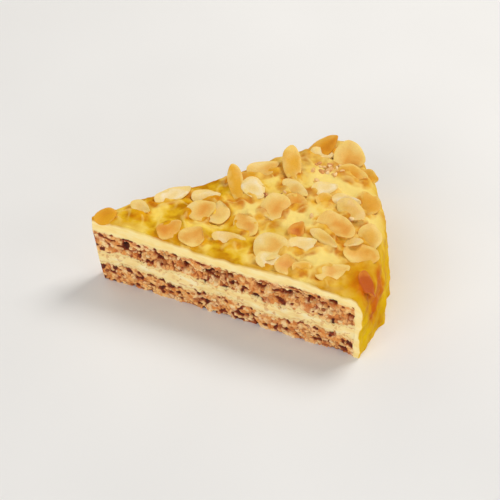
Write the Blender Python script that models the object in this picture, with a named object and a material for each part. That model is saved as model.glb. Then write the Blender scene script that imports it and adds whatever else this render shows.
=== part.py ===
"""A slice of almond cake, standing on its flat base.

Two nut sponges carry a cream filling between them and a cream coat over the top and down the outer
edge, and flaked almonds are pressed into the coat. Metres, +Z up. The tip points along -X, the outer
edge bulges along +X, and the origin is on the base, halfway between the tip and the outer edge.
"""

import math

import bmesh
import bpy
from mathutils import Matrix, Vector, noise

MM = 0.001

# The slice as it was cut from a round cake
RADIUS = 115.0 * MM
SLICES_IN_CAKE = 7
HALF_ANGLE = math.pi / SLICES_IN_CAKE
TIP_X = -RADIUS / 2
TIP_RADIUS = 0.9 * MM
TIP_LEAN = 4.2 * MM
LAYER_GAP = 0.3 * MM
WELD = 0.01 * MM

# Mean height of each layer's upper face above the base
BASE_TOP = 9.3 * MM
FILLING_TOP = 13.7 * MM
UPPER_TOP = 23.4 * MM
COAT_TOP = 29.3 * MM

# The waves of the upper faces: half their height, their length, and where one crest lies
BASE_WAVE = (1.2 * MM, 38 * MM, 19 * MM)
FILLING_WAVE = (0.8 * MM, 25 * MM, 64 * MM)
COAT_WAVE = (0.8 * MM, 62 * MM, 22 * MM)
BASE_SHIFT_ACROSS = 7 * MM
FILLING_SHIFT_ACROSS = -5 * MM
UPPER_SWELL = 2.0 * MM
UPPER_SWELL_AT = 93 * MM
UPPER_SWELL_REACH = 18 * MM
SPATULA_BUMP = 0.9 * MM
SPATULA_BUMP_SIZE = 13 * MM

# The coat's outer edge
RIM_THICKNESS = 4.0 * MM
SHOULDER = 6.5 * MM
INNER_FILLET = 1.2 * MM
RIM_RIDGE = 0.8 * MM
RIM_RIDGE_HEIGHT = 15.5 * MM
RIM_RIDGE_REACH = 2.2 * MM
RIM_FOOT_BELOW = 12.5 * MM
RIM_FOOT_BLEND = 1.2 * MM
RIM_FLARE = 1.9 * MM
RIM_LOBE = 0.9 * MM
RIM_UNDERCUT = 0.8 * MM
RIM_SWAY = 0.6 * MM
RIM_SWAY_SIZE = 9 * MM
SPONGE_RADIUS = RADIUS - RIM_THICKNESS
SPONGE_CORNER = 1.6 * MM

# The crumb's hollows on the two cut faces
CRAG_DEPTH = 1.5 * MM
CRAG_SIZE = 4.2 * MM
CRAG_FULL_FROM = 20.0 * MM
CRAG_COVER = 0.25
CRAG_STEEPNESS = 1.6
CRAG_LEAST = 0.15

# Flaked almonds: they narrow towards one end, bow a little, and lie sunk in the cream or on others
FLAKE_THICKNESS = 1.1 * MM
FLAKE_SIDES = 11
FLAKE_NARROWS = 0.28
FLAKE_BOW = 0.06
FLAKE_SUNK = 0.2 * MM
FLAKE_STACKED = 0.45 * MM
FLAKE_OVERLAP = 0.7

# The flakes as they were laid: distance from the tip, degrees off the slice's middle line, length,
# width, heading, tilt, and the heading of the raised side (millimetres and degrees)
FLAKES = (
    (6.5, -6, 9.5, 6.5, 25, 20, 70),
    (20, 9, 9.5, 6, -50, 24, 60),
    (32, -16, 11, 8, 40, 14, 110),
    (34, 20, 15.5, 6.5, 27, 24, 110),
    (42, -17, 12, 9.5, 35, 10, 100),
    (43, 4, 12, 9.5, 30, 12, 80),
    (46, 15, 12, 5.5, 5, 24, 100),
    (50, 3, 13, 8.5, 70, 8, 80),
    (55, -14, 13, 5.5, -12, 20, 80),
    (59, 17, 18, 7, -82, 22, 92),
    (60, -5, 15, 9, 100, 9, 60),
    (64, 21, 10, 5, 18, 10, 75),
    (65, 13, 11, 8.5, -60, 16, 90),
    (71, 2, 17, 11, -109, 6, 90),
    (71, -21, 12, 8, -30, 4, 60),
    (73, -15.5, 15.5, 13, -104, 9, 60),
    (73, 22, 16, 6.5, 14, 26, 100),
    (80, -7.5, 8, 6, 60, 25, 90),
    (80, 5.5, 10, 6.5, -40, 8, 40),
    (81, -22, 11.5, 8.5, 70, 12, 120),
    (81, 10.5, 13, 5.5, -48, 24, 40),
    (83, 19, 17.5, 8.5, -86, 22, 90),
    (84, -13, 12.5, 8, 3, 14, 90),
    (87, -22, 8, 6, 30, 15, 110),
    (91, -10, 14, 4.5, -49, 26, 45),
    (91, 5, 7, 5.5, 0, 16, 80),
    (92, 9, 10.5, 6, 8, 18, 90),
    (95, -5, 17, 11, -42, 9, 60),
    (98, 21.5, 11.5, 6.5, -23, 14, 60),
    (98, -20, 13.5, 8, 21, 10, 110),
    (99, 4.5, 12, 5, -12, 28, 80),
    (101, 0, 17, 8, -63, 20, 30),
    (101, -9.5, 11, 6, 129, 19, 331),
    (99, 23.5, 15, 8, 32, 32, 58),
    (106, 13.5, 14.5, 6.5, -40, 18, 50),
    (106, -13, 14, 10, -13, 14, 100),
    (107, 18.5, 12.5, 13.5, -20, 28, 80),
    (107.5, 3.5, 14, 9.5, 85, 14, 40),
    (108, -8, 13, 9, -85, 16, 62),
    (111, 13, 9, 6.5, -35, 20, 60),
    (112, -20.5, 10.5, 7, -60, 40, 158),
)

# Grid of each layer: cells along the radius, across the angle and up the height
SPONGE_CELLS = (40, 6, 4)
FILLING_CELLS = (40, 6, 1)
COAT_CELLS = (34, 18, 1)
COAT_TOP_SHARE = 0.7
COAT_SHOULDER_SHARE = 0.83
CUT_FACE = 0.99


def plan(r, t):
    """X and Y of the point at distance r from the tip, t from -1 to 1 across the slice."""
    return TIP_X + r * math.cos(t * HALF_ANGLE), r * math.sin(t * HALF_ANGLE)


def wave(distance, half_height, length, crest):
    """Slow rise and fall along the slice."""
    return half_height * math.cos(math.tau * (distance - crest) / length)


def bell(offset, reach):
    """A smooth hump: 1 in its middle, and almost 0 at twice its reach."""
    return math.exp(-((offset / reach) ** 2))


def base_top(r, t):
    return BASE_TOP + wave(r + BASE_SHIFT_ACROSS * (t + 1), *BASE_WAVE)


def filling_top(r, t):
    return FILLING_TOP + wave(r + FILLING_SHIFT_ACROSS * (t + 1), *FILLING_WAVE)


def upper_top(r):
    """The upper sponge is thickest near the outer edge, and level across the slice."""
    return UPPER_TOP + UPPER_SWELL * bell(r - UPPER_SWELL_AT, UPPER_SWELL_REACH)


def coat_top(r, t):
    """The spread cream: one long swell along the slice, with small bumps left by the spatula."""
    bumps = noise.noise(Vector((*plan(r, t), 0.0)) / SPATULA_BUMP_SIZE)
    return COAT_TOP + wave(r, *COAT_WAVE) + bumps * SPATULA_BUMP


def tip_radius(z):
    """The tip leans: it starts further from the cake's axis near the base."""
    return TIP_RADIUS + TIP_LEAN * max(0.0, 1.0 - z / UPPER_TOP)


def crag(r, z, t):
    """How far the crumb is hollowed in at a point of a cut face."""
    rough = noise.noise(Vector((r / CRAG_SIZE, 1.4 * z / CRAG_SIZE, 7.4 * t)))
    near_tip = min(1.0, r / CRAG_FULL_FROM)
    return CRAG_DEPTH * near_tip * min(1.0, max(0.0, rough + CRAG_COVER) * CRAG_STEEPNESS)


def finished(name, mesh):
    """Turns a bmesh into an object."""
    bmesh.ops.recalc_face_normals(mesh, faces=mesh.faces)
    data = bpy.data.meshes.new(name)
    mesh.to_mesh(data)
    mesh.free()
    return bpy.data.objects.new(name, data)


def grid_block(name, cells, place):
    """A closed block cut into a grid, whose points place(u, v, w) puts in position."""
    mesh = bmesh.new()
    bmesh.ops.create_cube(mesh, size=1.0, matrix=Matrix.Translation((0.5, 0.5, 0.5)))
    for axis, count in enumerate(cells):
        along = [e for e in mesh.edges if abs(e.verts[0].co[axis] - e.verts[1].co[axis]) > 0.5]
        if count > 1:
            bmesh.ops.subdivide_edges(mesh, edges=along, cuts=count - 1, use_grid_fill=True)
    for vert in mesh.verts:
        vert.co = place(*vert.co)
    return finished(name, mesh)


def layer_place(lower, upper, end_radius, hollow=None):
    """Maps a unit block to a layer of the slice between two height functions.

    hollow(w) is the share of the full crag at height w of the layer. Without it the cut is smooth.
    """

    def place(u, v, w):
        t = 2 * v - 1
        start = tip_radius(lower(0, 0) * (1 - w) + upper(0, 0) * w)
        r = start + u * (end_radius(w) - start)
        z = lower(r, t) * (1 - w) + upper(r, t) * w
        x, y = plan(r, t)
        if hollow and abs(t) > CUT_FACE and 0.0 < u < 1.0:
            inward = crag(r, z, t) * max(CRAG_LEAST, hollow(w))
            x += inward * math.sin(HALF_ANGLE)
            y -= math.copysign(inward * math.cos(HALF_ANGLE), t)
        return Vector((x, y, z))

    return place


def make_base():
    """The lower sponge, whose crumb is hollowed most where it meets the plate."""
    base = grid_block(
        "base_sponge",
        SPONGE_CELLS,
        layer_place(
            lambda r, t: 0.0,
            base_top,
            lambda w: SPONGE_RADIUS,
            lambda w: math.cos(math.pi * w / 2),
        ),
    )
    join_flat_underside(base)
    return base


def make_filling():
    """The cream between the sponges, cut smooth."""
    return grid_block(
        "cream_filling",
        FILLING_CELLS,
        layer_place(
            lambda r, t: base_top(r, t) + LAYER_GAP,
            filling_top,
            lambda w: SPONGE_RADIUS,
        ),
    )


def make_upper():
    """The upper sponge, chamfered at its outer edge, where the coat turns down."""
    return grid_block(
        "upper_sponge",
        SPONGE_CELLS,
        layer_place(
            lambda r, t: filling_top(r, t) + LAYER_GAP,
            lambda r, t: upper_top(r),
            lambda w: SPONGE_RADIUS - (SPONGE_CORNER if w == 1.0 else 0.0),
            lambda w: math.sin(math.pi * w),
        ),
    )


def join_flat_underside(obj):
    """Joins the level faces that lie on the surface under the slice into one."""
    mesh = bmesh.new()
    mesh.from_mesh(obj.data)
    inner = [
        e
        for e in mesh.edges
        if len(e.link_faces) == 2 and all(f.normal.z < -0.999 for f in e.link_faces)
    ]
    bmesh.ops.dissolve_edges(mesh, edges=inner, use_verts=False)
    bmesh.ops.triangulate(mesh, faces=[f for f in mesh.faces if len(f.verts) > 4])
    mesh.to_mesh(obj.data)
    mesh.free()


def rim_foot(t):
    """How far the rim's foot stands out: it flares in soft lobes, and is drawn in at the near cut."""
    lobes = RIM_LOBE * math.cos(math.tau * (t + 0.54) / 0.31)
    return (RIM_FLARE + lobes) * bell(t + 0.4, 0.36) - RIM_UNDERCUT * bell(t + 1, 0.3)


def rim_radius(z, t):
    """Outer face of the coat: a ridge at the filling's height, with the foot below it."""
    ridge = RIM_RIDGE * bell(z - RIM_RIDGE_HEIGHT, RIM_RIDGE_REACH)
    low = 1 / (1 + math.exp((z - RIM_FOOT_BELOW) / RIM_FOOT_BLEND))
    sway = noise.noise(Vector((t * 4.0, z / RIM_SWAY_SIZE, 5.0))) * RIM_SWAY
    return RADIUS - RIM_RIDGE + ridge + rim_foot(t) * low + sway


def arc_point(centre_r, centre_z, radius, share):
    """Point of the quarter turn from straight up to straight out."""
    angle = share * math.pi / 2
    return centre_r + radius * math.sin(angle), centre_z + radius * math.cos(angle)


def shoulder_share(u):
    return (u - COAT_TOP_SHARE) / (COAT_SHOULDER_SHARE - COAT_TOP_SHARE)


def down_share(u):
    return (u - COAT_SHOULDER_SHARE) / (1 - COAT_SHOULDER_SHARE)


def coat_inner(u):
    """Inner face of the coat: along the sponge's top, round its corner and down its end."""
    wall = SPONGE_RADIUS + LAYER_GAP
    turn = wall - INNER_FILLET
    corner_z = upper_top(turn) + LAYER_GAP - INNER_FILLET
    if u <= COAT_TOP_SHARE:
        start = tip_radius(UPPER_TOP)
        r = start + (turn - start) * u / COAT_TOP_SHARE
        return r, upper_top(r) + LAYER_GAP
    if u <= COAT_SHOULDER_SHARE:
        return arc_point(turn, corner_z, INNER_FILLET, shoulder_share(u))
    return wall, corner_z * (1 - down_share(u))


def coat_outer(u, t):
    """Outer face of the coat: the top, the round shoulder and the rim."""
    turn = RADIUS - RIM_RIDGE - SHOULDER
    shoulder_z = coat_top(turn, t) - SHOULDER
    if u <= COAT_TOP_SHARE:
        r = TIP_RADIUS + (turn - TIP_RADIUS) * u / COAT_TOP_SHARE
        return r, coat_top(r, t)
    if u <= COAT_SHOULDER_SHARE:
        share = shoulder_share(u)
        r, z = arc_point(turn, shoulder_z, SHOULDER, share)
        return r + (rim_radius(z, t) - RADIUS + RIM_RIDGE) * share, z
    z = shoulder_z * (1 - down_share(u))
    return rim_radius(z, t), z


def coat_place(u, v, w):
    t = 2 * v - 1
    r, z = coat_outer(u, t) if w > 0.5 else coat_inner(u)
    return Vector((*plan(r, t), z))


def flake_places():
    """Each flake's r, t, length, width, heading, tilt and raised side, in metres and radians."""
    return [
        (r * MM, math.radians(off) / HALF_ANGLE, long * MM, wide * MM, *map(math.radians, turns))
        for r, off, long, wide, *turns in FLAKES
    ]


def make_flake(name, length, width):
    """One thin egg-shaped slice of almond, slightly bowed, about its own centre."""
    mesh = bmesh.new()
    bmesh.ops.create_circle(mesh, cap_ends=True, segments=FLAKE_SIDES, radius=1.0)
    lifted = bmesh.ops.extrude_face_region(mesh, geom=mesh.faces[:])["geom"]
    for vert in lifted:
        if isinstance(vert, bmesh.types.BMVert):
            vert.co.z = 1.0
    for vert in mesh.verts:
        x, y, top = vert.co
        bow = FLAKE_BOW * length * (x * x - 0.35)
        vert.co = Vector((
            x * length / 2,
            y * (1 - FLAKE_NARROWS * x) * width / 2,
            bow + (top - 0.5) * FLAKE_THICKNESS,
        ))
    return finished(name, mesh)


def surface(r, t):
    """Height and slope of the coat's top, and of its shoulder where it turns down to the rim."""
    turn = RADIUS - RIM_RIDGE - SHOULDER
    past = min(max(0.0, r - turn), SHOULDER * 0.95)
    height = coat_top(min(r, turn), t) - SHOULDER + math.sqrt(SHOULDER**2 - past**2)
    return height, math.asin(past / SHOULDER)


def lay_flake(flake, place, stacked):
    """Sets a flake on the cream with one side raised, and higher if it lies over another."""
    r, t, length, width, heading, tilt, raised = place
    height, slope = surface(r, t)
    off = raised - heading
    reach = math.hypot(length / 2 * math.cos(off), width / 2 * math.sin(off))
    rise = 0.5 * reach * math.sin(max(0.0, tilt - slope))
    rise += FLAKE_STACKED if stacked else FLAKE_SUNK
    turn = Matrix.Rotation(raised, 4, "Z") @ Matrix.Rotation(-tilt, 4, "Y")
    flake.data.transform(turn @ Matrix.Rotation(-off, 4, "Z"))
    flake.data.transform(Matrix.Translation((*plan(r, t), height + rise)))


def make_coat(parts, toppings):
    """The cream coat with its almond flakes fused on."""
    coat = grid_block("cream_coat", COAT_CELLS, coat_place)
    parts.objects.link(coat)
    laid = []
    for index, place in enumerate(flake_places()):
        r, t, length, width = place[:4]
        centre = Vector(plan(r, t))
        stacked = any((centre - other).length < FLAKE_OVERLAP * length for other in laid)
        flake = make_flake(f"flake_{index}", length, width)
        lay_flake(flake, place, stacked)
        toppings.objects.link(flake)
        laid.append(centre)
    fuse(coat, toppings)
    return coat


def fuse(obj, toppings):
    """Joins a collection's objects onto obj with one applied union, and removes them."""
    union = obj.modifiers.new("fuse", "BOOLEAN")
    union.operation = "UNION"
    union.operand_type = "COLLECTION"
    union.collection = toppings
    union.solver = "MANIFOLD"
    graph = bpy.context.evaluated_depsgraph_get()
    joined = bpy.data.meshes.new_from_object(obj.evaluated_get(graph))
    obj.modifiers.clear()
    obj.data = joined
    keep_outer_skin(joined)
    for topping in list(toppings.objects):
        bpy.data.objects.remove(topping)
    bpy.data.collections.remove(toppings)


def keep_outer_skin(data):
    """Fills hollows that the toppings have sealed and drops scraps: only the largest skin stays."""
    mesh = bmesh.new()
    mesh.from_mesh(data)
    bmesh.ops.triangulate(mesh, faces=mesh.faces)
    bmesh.ops.dissolve_degenerate(mesh, edges=mesh.edges, dist=WELD)
    waiting = set(mesh.faces)
    skins = []
    while waiting:
        reached = [waiting.pop()]
        for face in reached:
            joints = [e for e in face.edges if len(e.link_faces) == 2]
            near = {f for e in joints for f in e.link_faces} & waiting
            waiting -= near
            reached.extend(near)
        skins.append(reached)
    largest = max(skins, key=len)
    scraps = [f for skin in skins if skin is not largest for f in skin]
    bmesh.ops.delete(mesh, geom=scraps, context="FACES")
    mesh.to_mesh(data)
    mesh.free()


def add_material(obj, colour, roughness):
    material = bpy.data.materials.new(obj.name)
    material.use_nodes = True
    shader = material.node_tree.nodes["Principled BSDF"]
    shader.inputs["Base Color"].default_value = (*colour, 1.0)
    shader.inputs["Roughness"].default_value = roughness
    shader.inputs["Metallic"].default_value = 0.0
    obj.data.materials.clear()
    obj.data.materials.append(material)


def collection(name):
    made = bpy.data.collections.new(name)
    bpy.context.scene.collection.children.link(made)
    return made


def main():
    for obj in list(bpy.data.objects):
        bpy.data.objects.remove(obj)
    parts = collection("almond_cake_slice")
    toppings = collection("almond_flakes")
    for layer, colour, roughness in (
        (make_base(), (0.60, 0.33, 0.13), 0.85),
        (make_filling(), (0.93, 0.77, 0.42), 0.45),
        (make_upper(), (0.60, 0.33, 0.13), 0.85),
    ):
        parts.objects.link(layer)
        add_material(layer, colour, roughness)
    add_material(make_coat(parts, toppings), (0.84, 0.56, 0.12), 0.4)


main()
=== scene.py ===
"""The looks of a slice of almond cake: nut crumb, cream filling, golden coat and flaked almonds."""

import math
import random

import bpy
from mathutils import Matrix, Vector, noise


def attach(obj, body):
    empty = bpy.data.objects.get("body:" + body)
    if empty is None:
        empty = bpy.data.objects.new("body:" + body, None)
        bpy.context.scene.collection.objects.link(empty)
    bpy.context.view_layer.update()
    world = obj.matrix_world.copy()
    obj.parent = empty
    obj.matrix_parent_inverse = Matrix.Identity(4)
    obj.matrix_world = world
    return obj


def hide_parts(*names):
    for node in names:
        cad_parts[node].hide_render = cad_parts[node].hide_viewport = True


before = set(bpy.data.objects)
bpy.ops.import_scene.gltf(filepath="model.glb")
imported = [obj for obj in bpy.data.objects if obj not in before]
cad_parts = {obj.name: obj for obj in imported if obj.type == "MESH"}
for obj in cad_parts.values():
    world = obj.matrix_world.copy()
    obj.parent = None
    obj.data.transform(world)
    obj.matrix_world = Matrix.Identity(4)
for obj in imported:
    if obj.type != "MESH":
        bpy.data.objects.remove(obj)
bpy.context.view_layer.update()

MM = 0.001

# The slice, with the sizes of its solids
RADIUS = 115.0 * MM
SLICES_IN_CAKE = 7
HALF_ANGLE = math.pi / SLICES_IN_CAKE
TIP_X = -RADIUS / 2
TIP_RADIUS = 0.9 * MM
TIP_LEAN = 4.2 * MM
LAYER_GAP = 0.3 * MM
BASE_TOP = 9.3 * MM
FILLING_TOP = 13.7 * MM
UPPER_TOP = 23.4 * MM
COAT_TOP = 29.3 * MM
BASE_WAVE = (1.2 * MM, 38 * MM, 19 * MM)
FILLING_WAVE = (0.8 * MM, 25 * MM, 64 * MM)
COAT_WAVE = (0.8 * MM, 62 * MM, 22 * MM)
BASE_SHIFT_ACROSS = 7 * MM
FILLING_SHIFT_ACROSS = -5 * MM
UPPER_SWELL = 2.0 * MM
UPPER_SWELL_AT = 93 * MM
UPPER_SWELL_REACH = 18 * MM
SPATULA_BUMP = 0.9 * MM
SPATULA_BUMP_SIZE = 13 * MM
RIM_THICKNESS = 4.0 * MM
SHOULDER = 6.5 * MM
INNER_FILLET = 1.2 * MM
RIM_RIDGE = 0.8 * MM
RIM_RIDGE_HEIGHT = 15.5 * MM
RIM_RIDGE_REACH = 2.2 * MM
RIM_FOOT_BELOW = 12.5 * MM
RIM_FOOT_BLEND = 1.2 * MM
RIM_FLARE = 1.9 * MM
RIM_LOBE = 0.9 * MM
RIM_UNDERCUT = 0.8 * MM
RIM_SWAY = 0.6 * MM
RIM_SWAY_SIZE = 9 * MM
SPONGE_RADIUS = RADIUS - RIM_THICKNESS
SPONGE_CORNER = 1.6 * MM
SPONGE_CORNER_FROM = 0.8
COAT_TOP_SHARE = 0.66
COAT_SHOULDER_SHARE = 0.76

# The rim across the slice, from -1 at the near cut to 1 at the far one
RIM_FLARE_AT = -0.4
RIM_FLARE_REACH = 0.36
RIM_LOBE_AT = -0.54
RIM_LOBE_SPACING = 0.31
RIM_UNDERCUT_AT = -1.0
RIM_UNDERCUT_REACH = 0.3
RIM_SWAYS_ACROSS = 4.0
RIM_SWAY_LEVEL = 5.0

# The seams between the layers wander where they show on a cut face. Each has its own place in the
# noise and its own wave length
SEAM_WANDER = 1.4 * MM
SEAM_FINE_WANDER = 1.0 * MM
SEAM_FINE_SHARE = 0.42
SEAM_SIDE = 17 * MM
LOW_SEAM = (0.0, 2.9 * MM)
HIGH_SEAM = (40 * MM, 2.5 * MM)
TOP_SEAM = (80 * MM, 2.4 * MM)
TOP_SEAM_WANDER_SHARE = 0.5
TOP_SEAM_RISE = 0.3 * MM
SEAM_LAP = 0.15 * MM

# How fast a change fades from the cut faces inwards: the higher, the nearer to the cut it stays
CRUMB_FADE = 6
SEAM_FADE = 8
COAT_FADE = 10

# The crumb on the cut faces: crags, clumps with crevices between them, pits and torn holes
CRUMB_SIDE = 31 * MM
CRUMB_LEAST = 0.25
CRAG_DEPTH = 1.5 * MM
CRAG_SIZE = 4.2 * MM
CRAG_FULL_FROM = 20.0 * MM
CRAG_COVER = 0.25
CRAG_STEEPNESS = 1.6
CRAG_LEAST = 0.15
CRAG_FLATNESS = 1.4
CRAG_SIDE = 7.4
CLUMP_SIZE = 2.0 * MM
CLUMP_FLATNESS = 1.2
CLUMP_BEND = 0.5
CLUMP_BEND_SIZE = 1.4 * MM
CLUMP_RISE = 0.3 * MM
LEVEL_GRAIN = 0.6
GRAIN_SPREAD = 7.3
CREVICE_DEPTH = 0.7 * MM
CREVICE_EDGES = (0.03, 0.45)
PIT_DEPTH = 1.3 * MM
PIT_SIZE = 2.3 * MM
PIT_FLATNESS = 1.3
PIT_IN_HOLLOW = 0.16
PIT_EDGES = (0.27, 0.5)
FINE_CRUMB = 0.12 * MM
FINE_CRUMB_SIZE = 0.9 * MM
# Painted shade: how much shade is painted into the pits and crevices
PIT_SHADE = 0.56
PIT_CREVICE_SHADE = 0.16
CREVICE_SHADE = 0.36
CREVICE_SHADE_LEAST = 0.4
BASE_FREE_AT_FOOT = 0.6
SMEAR_REACH = 0.15
COAT_SMEAR_REACH = 0.09

# The torn holes under the coat on the near cut, painted near-black for the shade in them: distance
# from the tip, height and length
HOLES = (
    (15, 20.2, 5.6),
    (40, 18.9, 3.6),
    (49.5, 18.8, 3.6),
    (53.5, 20.2, 4.2),
    (59, 21.4, 4.4),
    (72, 20.4, 4.2),
    (83, 21.2, 5.6),
    (92.5, 22.3, 5.0),
    (102, 23.8, 4.4),
)
HOLE_DEPTH = 2.8 * MM
HOLE_HEIGHT = 1.5 * MM
HOLE_STEEPNESS = 1.6
HOLE_RAGGED = 0.45
HOLE_RAGGED_SIZE = 1.1 * MM
HOLE_SIDE = 20 * MM

# The far cut has the same holes, counted back from this distance and a little higher
FAR_HOLES_FROM = 118
FAR_HOLES_HIGHER = 0.4

# Cream dragged along the cut: how much longer than high it is, and its relief on both layers
DRAG_STRETCH = 3
FILLING_DRAG = 0.4 * MM
FILLING_DRAG_SIZE = 1.6 * MM
FILLING_OUT = 0.2 * MM
FILLING_TUCK = 0.4 * MM
FILLING_EDGE = 0.04
FILLING_CROWN = 0.6
FILLING_SEAM_REACH = 0.2
COAT_DRAG = 0.22 * MM
COAT_DRAG_SIZE = 1.5 * MM
COAT_OUT = 0.1 * MM
COAT_TUCK = 0.35 * MM
COAT_CORNER_REACH = 0.12
COAT_SIDE = 23 * MM
WALL_ROUGH = 0.6 * MM
WALL_ROUGH_SIZE = 2.2 * MM
WALL_BACK = 0.55 * MM

# The coat's relief: the cream pushed up round the flakes, ripples, strands, and streaks on the rim
HUMP = 1.35 * MM
HUMP_REACH = 2.2 * MM
HUMP_INSET = 0.7 * MM
HUMP_LOST_AT_CUT = 0.8
HUMP_CUT_REACH = 2.5 * MM
RIPPLE = 0.6 * MM
RIPPLE_SIZE = 4.6 * MM
FINE_RIPPLE = 0.3 * MM
FINE_RIPPLE_SIZE = 2.0 * MM
STRAND = 0.4 * MM
STRAND_SIZE = 5.5 * MM
STRAND_WIDTH = 0.22
STRAND_LEVEL = 30 * MM
STRAND_EDGES = (-1.0 * MM, 0.5 * MM)
STRAND_GONE = 5.6 * MM
STRAND_FADE = 4 * MM
STREAK = 0.3 * MM
STREAK_SIZE = 4.0 * MM
STREAKS_ACROSS = 60 * MM
STREAK_FLATNESS = 2.2
RIM_BACK = 0.3 * MM

# Patches in the cream: place in the noise, size, middle and contrast
HUMP_PATCHES = (9 * MM, 5.0 * MM, 0.5, 1.6)
CUT_EDGE_PATCHES = (50 * MM, 7 * MM, 0.6, 1.8)

# The darker gold by the flakes, partly caramel gathered round them and partly painted shadow, so it
# lies a little to one side of them; and the darker gold along the cuts
POOL_SHADOW_SHIFT_X = 0.9 * MM
POOL_SHADOW_SHIFT_Y = 1.3 * MM
POOL_SHADOW_REACH = 1.8 * MM
CUT_EDGE_REACH = 3.2 * MM

# Middles of the patches of bare, paler cream, and where the cream is paler all over
PALE_PATCHES = ((81, -2), (95, 13), (93, -16), (99, 9), (110, -3), (66, 4))
PALE_REACH = 9.0 * MM
PALE_ALL_OVER = 0.4
PALE_FROM = (50 * MM, 80 * MM)

# Middles of the amber patches round the browned flake, with their height
AMBER_PATCHES = ((112, -20.5, 26), (114, -15, 20), (115, -19, 16))
AMBER_REACH = 6.0 * MM
# Painted shade on the coat's shoulder round the browned flake reaches this far
SHOULDER_SHADE_REACH = 2.4 * AMBER_REACH

# Flaked almonds: they narrow towards one end, bow a little, and lie sunk in the cream or on others
FLAKE_THICKNESS = 0.85 * MM
FLAKE_NARROWS = 0.28
FLAKE_BOW = 0.06
FLAKE_BOW_LEVEL = 0.35
FLAKE_SUNK = 0.35 * MM
FLAKE_STACKED = 0.45 * MM
FLAKE_OVERLAP = 0.7
FLAKE_SIDES = 28
FLAKE_RINGS = (0.1, 0.14, 0.2, 0.2)
FLAKE_THINS_FROM = 0.75
FLAKE_THINS_BY = 0.45
FLAKE_UNEVEN = 0.13
FLAKE_WAVER = 0.8 * MM
FLAKE_TWIST = 1.6 * MM
FLAKE_BEVEL = 0.22 * MM
FLAKE_BEVEL_ANGLE = math.radians(50)
FLAKE_TILT_LIFT = 0.5
PATTERN_STEP = 40
FLAKES_ON_SHOULDER = 0.95

# A flake over 14 mm away leaves the cream alone: that distance, squared
FLAKE_REACH_SQUARED = 2e-4

# One flake in three is broken across, at a share of its half length. The others are whole
BROKEN_ONE_IN = 3
FLAKE_BROKEN_AT = 0.66
FLAKE_WHOLE = 2.0
BREAK_SLANT = 0.3
BREAK_ROUGH = 0.06
BREAK_FINENESS = 3

# The noise that bends each flake: how fine it is, and its steps from one flake to the next
OUTLINE_FINENESS = 1.3
OUTLINE_STEP = 5.3
WAVER_FINENESS = 1.2
WAVER_STEP = 3.7
TWIST_STEP = 2.7
TWIST_PLACE = (8.1, 0.4)

# The flakes as they were laid: distance from the tip, degrees off the slice's middle line, length,
# width, heading, tilt, heading of the raised side, and how toasted and how golden each one is
FLAKES = (
    (6.5, -6, 9.5, 6.5, 25, 20, 70, 0.80, 0.9),
    (20, 9, 9.5, 6, -50, 24, 60, 0.25, 0.4),
    (32, -16, 11, 8, 40, 14, 110, 0.66, 0.4),
    (34, 20, 15.5, 6.5, 27, 24, 110, 0.06, 0.0),
    (42, -17, 12, 9.5, 35, 10, 100, 0.60, 0.1),
    (43, 4, 12, 9.5, 30, 12, 80, 0.50, 0.1),
    (46, 15, 12, 5.5, 5, 24, 100, 0.12, 0.2),
    (50, 3, 13, 8.5, 70, 8, 80, 0.34, 0.2),
    (55, -14, 13, 5.5, -12, 20, 80, 0.20, 0.5),
    (59, 17, 18, 5.8, -82, 22, 92, 0.45, 1.0),
    (60, -5, 15, 9, 100, 9, 60, 0.55, 0.0),
    (64, 21, 10, 5, 18, 10, 75, 0.66, 0.8),
    (65, 13, 11, 8.5, -60, 16, 90, 0.14, 0.0),
    (71, 2, 17, 11, -109, 6, 90, 0.50, 0.1),
    (74.5, -21.8, 12, 8.5, -30, 8, 60, 0.15, 0.1),
    (72, -17, 14, 13, -104, 9, 60, 0.44, 0.1),
    (73, 22, 16, 6.5, 14, 26, 100, 0.45, 0.2),
    (80, -7.5, 8, 6, 60, 25, 90, 0.80, 0.2),
    (80, 5.5, 10, 6.5, -40, 8, 40, 0.64, 0.3),
    (81, -22, 11.5, 8.5, 70, 12, 120, 0.60, 0.2),
    (81, 10.5, 13, 5.5, -48, 24, 40, 0.42, 0.1),
    (83, 19, 17.5, 7.3, -86, 22, 90, 0.40, 0.9),
    (84, -13, 12.5, 8, 3, 14, 90, 0.18, 0.0),
    (87, -22, 8, 6, 30, 15, 110, 0.45, 0.8),
    (91, -10, 14, 4.5, -49, 26, 45, 0.30, 0.5),
    (91, 5, 7, 5.5, 0, 16, 80, 0.50, 1.0),
    (92, 9, 10.5, 6, 8, 18, 90, 0.10, 0.0),
    (95, -5, 17, 11, -42, 9, 60, 0.56, 0.0),
    (98, 21.5, 11.5, 6.5, -23, 14, 60, 0.18, 0.1),
    (98, -20, 13.5, 8, 21, 10, 110, 0.50, 0.1),
    (99, 4.5, 12, 5, -12, 28, 80, 0.12, 0.2),
    (101, 0, 17, 8, -63, 20, 30, 0.24, 0.7),
    (101, -9.5, 11, 6, 129, 19, 331, 0.25, 0.5),
    (99, 23.5, 15, 8, 32, 32, 58, 0.76, 0.6),
    (106, 13.5, 14.5, 6.5, -40, 18, 50, 0.62, 0.5),
    (106, -13, 14, 10, -13, 14, 100, 0.60, 0.4),
    (107, 18.5, 12.5, 13.5, -20, 28, 80, 0.52, 0.1),
    (107.5, 3.5, 14, 9.5, 85, 14, 40, 0.60, 0.7),
    (108, -8, 13, 9, -85, 16, 62, 0.45, 0.6),
    (111, 13, 9, 6.5, -35, 20, 60, 0.60, 0.8),
    (112, -20.5, 12, 6.5, -60, 40, 158, 1.02, 0.1),
)

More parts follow.
